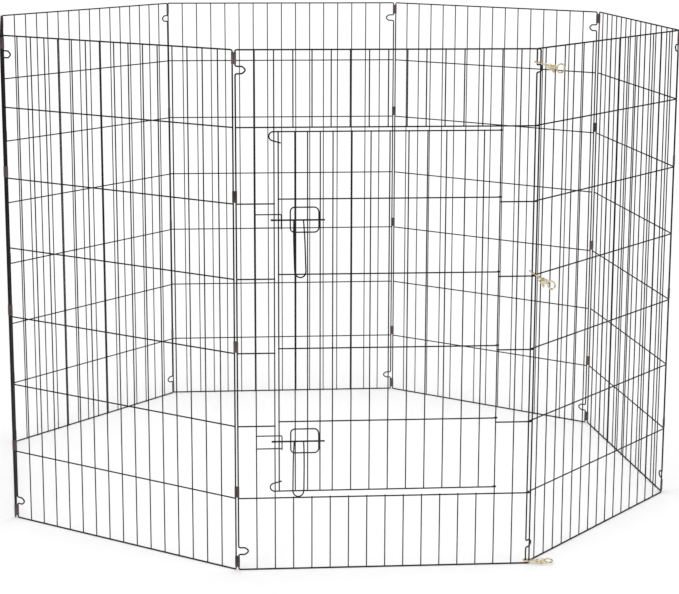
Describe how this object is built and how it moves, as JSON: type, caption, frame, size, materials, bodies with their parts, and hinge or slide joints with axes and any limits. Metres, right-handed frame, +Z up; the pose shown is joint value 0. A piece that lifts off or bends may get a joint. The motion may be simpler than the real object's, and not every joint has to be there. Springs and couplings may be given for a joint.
{
  "type": "pet playpen",
  "caption": "Folding octagonal wire playpen for pets, with clip-hinged panels, a bolted swing door and a seam closed by snap hooks.",
  "frame": {"origin": "centre of the pen's footprint on the floor plane that the bottom wires rest on", "axes": "+Z up, +X along the front (door) panel from its hinged left corner to the seam, +Y from the front panel into the pen"},
  "size_m": [1.5407, 1.4676, 1.0695],
  "materials": {
    "black_wire": "satin black powder coat over round steel wire",
    "clip_sheet": "dark brownish black coated folded sheet steel",
    "pale_brass": "pale brass plate over die-cast metal, bright with soft wear"
  },
  "bodies": {
    "front_panel": {"door_panel": "black_wire", "hinge_clip_1_bottom": "clip_sheet", "hinge_clip_1_lower": "clip_sheet", "hinge_clip_1_middle": "clip_sheet", "hinge_clip_1_upper": "clip_sheet", "hinge_clip_1_top": "clip_sheet", "snap_hook_top": "pale_brass", "snap_hook_middle": "pale_brass", "snap_hook_bottom": "pale_brass"},
    "panel_left_front": {"panel_left_front": "black_wire", "hinge_clip_2_bottom": "clip_sheet", "hinge_clip_2_lower": "clip_sheet", "hinge_clip_2_middle": "clip_sheet", "hinge_clip_2_upper": "clip_sheet", "hinge_clip_2_top": "clip_sheet"},
    "panel_left": {"panel_left": "black_wire", "hinge_clip_3_bottom": "clip_sheet", "hinge_clip_3_lower": "clip_sheet", "hinge_clip_3_middle": "clip_sheet", "hinge_clip_3_upper": "clip_sheet", "hinge_clip_3_top": "clip_sheet"},
    "panel_left_rear": {"panel_left_rear": "black_wire", "hinge_clip_4_bottom": "clip_sheet", "hinge_clip_4_lower": "clip_sheet", "hinge_clip_4_middle": "clip_sheet", "hinge_clip_4_upper": "clip_sheet", "hinge_clip_4_top": "clip_sheet"},
    "panel_rear": {"panel_rear": "black_wire", "hinge_clip_5_bottom": "clip_sheet", "hinge_clip_5_lower": "clip_sheet", "hinge_clip_5_middle": "clip_sheet", "hinge_clip_5_upper": "clip_sheet", "hinge_clip_5_top": "clip_sheet"},
    "panel_right_rear": {"panel_right_rear": "black_wire", "hinge_clip_6_bottom": "clip_sheet", "hinge_clip_6_lower": "clip_sheet", "hinge_clip_6_middle": "clip_sheet", "hinge_clip_6_upper": "clip_sheet", "hinge_clip_6_top": "clip_sheet"},
    "panel_right": {"panel_right": "black_wire", "hinge_clip_7_bottom": "clip_sheet", "hinge_clip_7_lower": "clip_sheet", "hinge_clip_7_middle": "clip_sheet", "hinge_clip_7_upper": "clip_sheet", "hinge_clip_7_top": "clip_sheet"},
    "panel_right_front": {"panel_right_front": "black_wire"},
    "door": {"door": "black_wire", "bolt_guide_upper": "black_wire", "bolt_guide_lower": "black_wire"},
    "bolt_upper": {"bolt_rod_upper": "black_wire"},
    "handle_upper": {"bolt_handle_upper": "black_wire"},
    "bolt_lower": {"bolt_rod_lower": "black_wire"},
    "handle_lower": {"bolt_handle_lower": "black_wire"},
    "snap_gate_top": {"snap_gate_top": "pale_brass"},
    "snap_eye_top": {"snap_eye_top": "pale_brass"},
    "snap_gate_middle": {"snap_gate_middle": "pale_brass"},
    "snap_eye_middle": {"snap_eye_middle": "pale_brass"},
    "snap_gate_bottom": {"snap_gate_bottom": "pale_brass"},
    "snap_eye_bottom": {"snap_eye_bottom": "pale_brass"}
  },
  "joints": [
    {"name": "ring_fold", "type": "hinge", "parent": "front_panel", "child": "panel_left_front", "pos_m": [-0.23364, -0.72286, 0.5], "axis": [0, 0, -1], "range_deg": [0, 137]},
    {"name": "fold_2", "type": "hinge", "parent": "panel_left_front", "child": "panel_left", "pos_m": [-0.71513, -0.3499, 0.5], "axis": [0, 0, -1], "range_deg": [-223.1, 0]},
    {"name": "fold_3", "type": "hinge", "parent": "panel_left", "child": "panel_left_rear", "pos_m": [-0.76462, 0.25713, 0.5], "axis": [0, 0, -1], "range_deg": [0, 130.5]},
    {"name": "fold_4", "type": "hinge", "parent": "panel_left_rear", "child": "panel_rear", "pos_m": [-0.3702, 0.7212, 0.5], "axis": [0, 0, -1], "range_deg": [-225, 0]},
    {"name": "fold_5", "type": "hinge", "parent": "panel_rear", "child": "panel_right_rear", "pos_m": [0.23884, 0.72292, 0.5], "axis": [0, 0, -1], "range_deg": [0, 136.5]},
    {"name": "fold_6", "type": "hinge", "parent": "panel_right_rear", "child": "panel_right", "pos_m": [0.71308, 0.34078, 0.5], "axis": [0, 0, -1], "range_deg": [-221.8, 0]},
    {"name": "fold_7", "type": "hinge", "parent": "panel_right", "child": "panel_right_front", "pos_m": [0.76469, -0.26607, 0.5], "axis": [0, 0, -1], "range_deg": [0, 129.9]},
    {"name": "door_swing", "type": "hinge", "parent": "front_panel", "child": "door", "pos_m": [0.29995, -0.72315, 0.53], "axis": [0, 0, 1], "range_deg": [0, 120]},
    {"name": "bolt_slide_upper", "type": "slide", "parent": "door", "child": "bolt_upper", "axis": [1, 0, 0], "range_m": [0, 0.026]},
    {"name": "handle_lift_upper", "type": "hinge", "parent": "bolt_upper", "child": "handle_upper", "pos_m": [-0.1044, -0.729, 0.73103], "axis": [-1, 0, 0], "range_deg": [0, 110]},
    {"name": "bolt_slide_lower", "type": "slide", "parent": "door", "child": "bolt_lower", "axis": [1, 0, 0], "range_m": [0, 0.026]},
    {"name": "handle_lift_lower", "type": "hinge", "parent": "bolt_lower", "child": "handle_lower", "pos_m": [-0.1044, -0.729, 0.27423], "axis": [-1, 0, 0], "range_deg": [0, 110]},
    {"name": "snap_gate_slide_top", "type": "slide", "parent": "front_panel", "child": "snap_gate_top", "axis": [0.9703, 0, -0.2419], "range_m": [0, 0.008]},
    {"name": "snap_eye_spin_top", "type": "hinge", "parent": "front_panel", "child": "snap_eye_top", "pos_m": [0.4145, -0.72915, 1.02965], "axis": [0.9703, 0, -0.2419], "continuous": true},
    {"name": "snap_gate_slide_middle", "type": "slide", "parent": "front_panel", "child": "snap_gate_middle", "axis": [0.8387, 0, -0.5446], "range_m": [0, 0.008]},
    {"name": "snap_eye_spin_middle", "type": "hinge", "parent": "front_panel", "child": "snap_eye_middle", "pos_m": [0.40735, -0.72915, 0.59245], "axis": [0.8387, 0, -0.5446], "continuous": true},
    {"name": "snap_gate_slide_bottom", "type": "slide", "parent": "front_panel", "child": "snap_gate_bottom", "axis": [1, 0, 0], "range_m": [0, 0.008]},
    {"name": "snap_eye_spin_bottom", "type": "hinge", "parent": "front_panel", "child": "snap_eye_bottom", "pos_m": [0.4162, -0.72915, 0.0063], "axis": [1, 0, 0], "continuous": true}
  ],
  "couplings": [
    {"joint": "fold_2", "follows": "ring_fold", "ratio": -1.6212},
    {"joint": "fold_3", "follows": "ring_fold", "ratio": 0.94525},
    {"joint": "fold_4", "follows": "ring_fold", "ratio": -1.635},
    {"joint": "fold_5", "follows": "ring_fold", "ratio": 0.98905},
    {"joint": "fold_6", "follows": "ring_fold", "ratio": -1.6117},
    {"joint": "fold_7", "follows": "ring_fold", "ratio": 0.94088}
  ]
}
